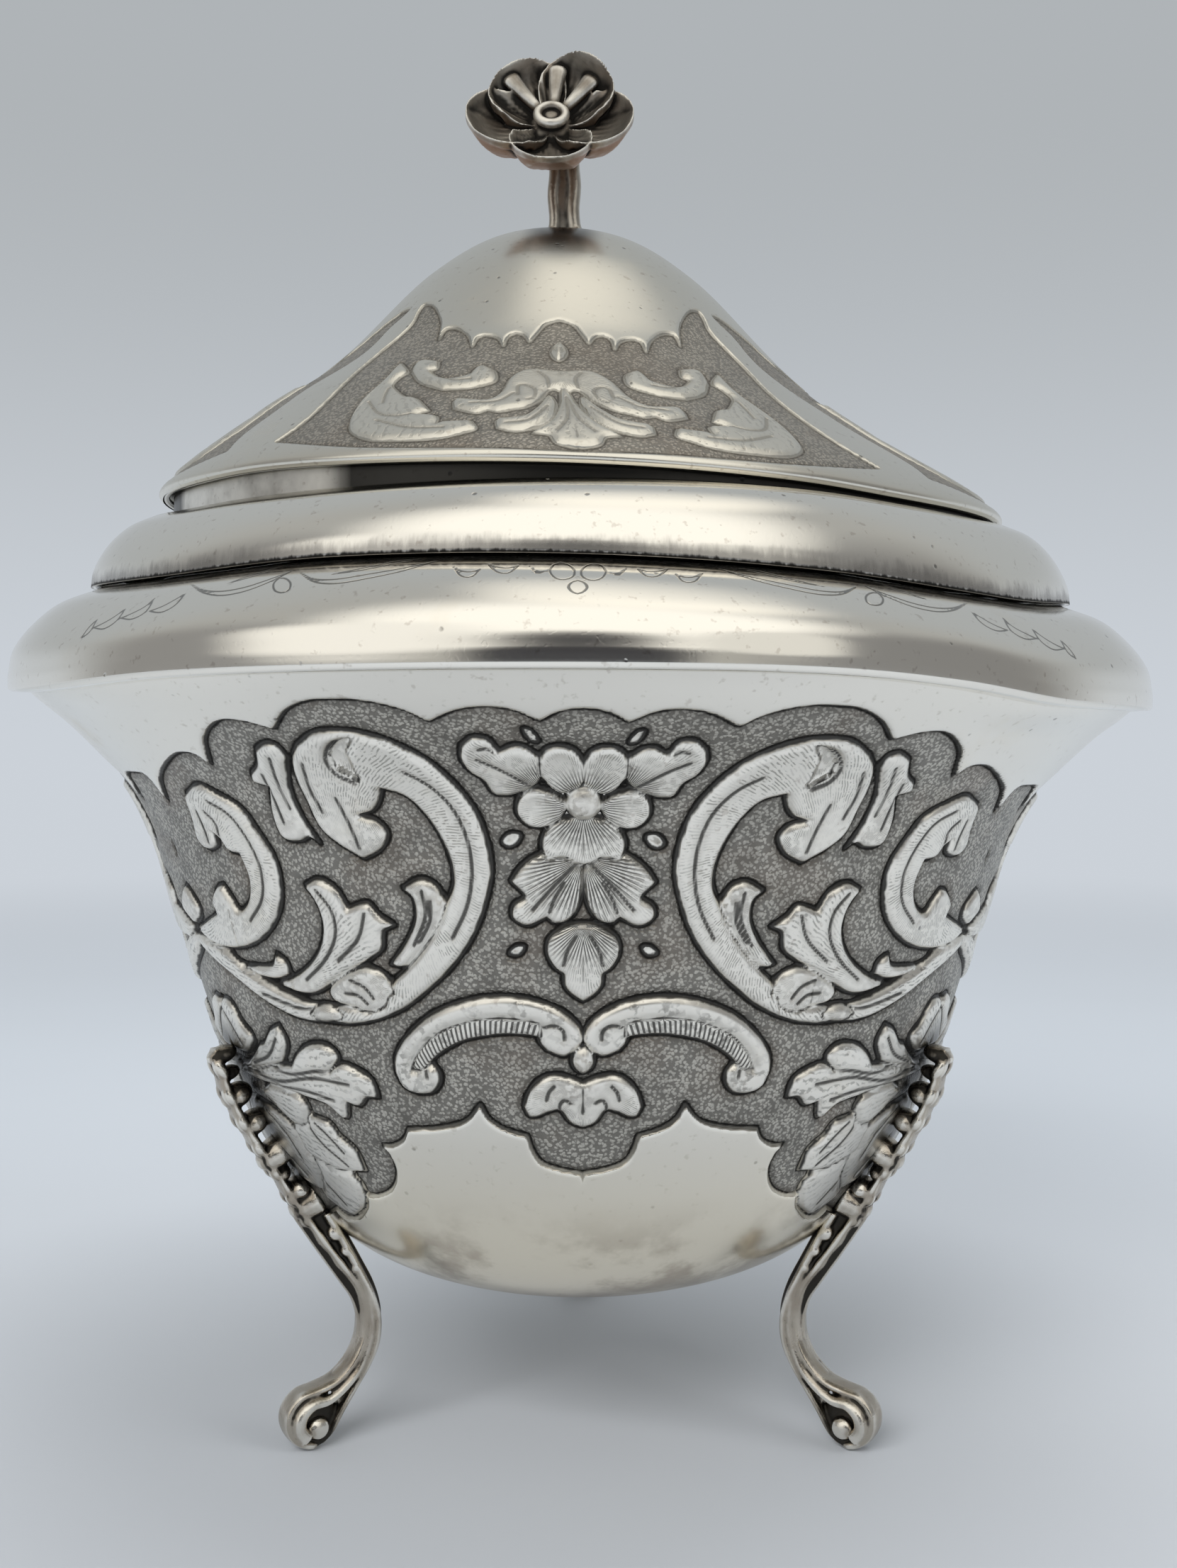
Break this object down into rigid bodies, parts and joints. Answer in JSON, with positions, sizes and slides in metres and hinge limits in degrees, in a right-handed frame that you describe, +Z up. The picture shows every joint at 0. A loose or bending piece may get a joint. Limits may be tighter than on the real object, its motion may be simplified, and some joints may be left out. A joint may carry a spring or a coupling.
{
  "type": "covered biscuit box",
  "caption": "Round silver covered box with embossed bowl, hinged ogee lid, flower finial and cast cabriole legs.",
  "frame": {"origin": "on the floor, under the middle of the bowl", "axes": "+Z up, -Y to the front, hinge at +Y"},
  "size_m": [0.16, 0.16, 0.1985],
  "materials": {
    "chased_silver": "embossed silver with a dark stippled ground",
    "polished_silver": "polished silver, lightly worn",
    "lid_silver": "greyed embossed silver",
    "cast_silver": "cast silver with brown tarnish",
    "steel": "plain steel"
  },
  "bodies": {
    "box": {"bowl": "chased_silver", "shoulder_ring": "polished_silver", "collar_ring": "polished_silver", "leg_front_left": "cast_silver", "leg_front_right": "cast_silver", "leg_back": "cast_silver", "hinge_box_leaf": "cast_silver", "hinge_pin": "steel"},
    "lid": {"lid_dome": "lid_silver", "lid_edge_wire": "lid_silver", "lid_bezel": "polished_silver", "hinge_lid_leaf": "cast_silver", "finial_stem": "cast_silver", "finial_flower": "cast_silver", "finial_washer": "cast_silver", "finial_nut": "steel"}
  },
  "joints": [
    {"name": "lid_hinge", "type": "hinge", "parent": "box", "child": "lid", "pos_m": [0, 0.06335, 0.12965], "axis": [-1, 0, 0], "range_deg": [0, 100]}
  ]
}
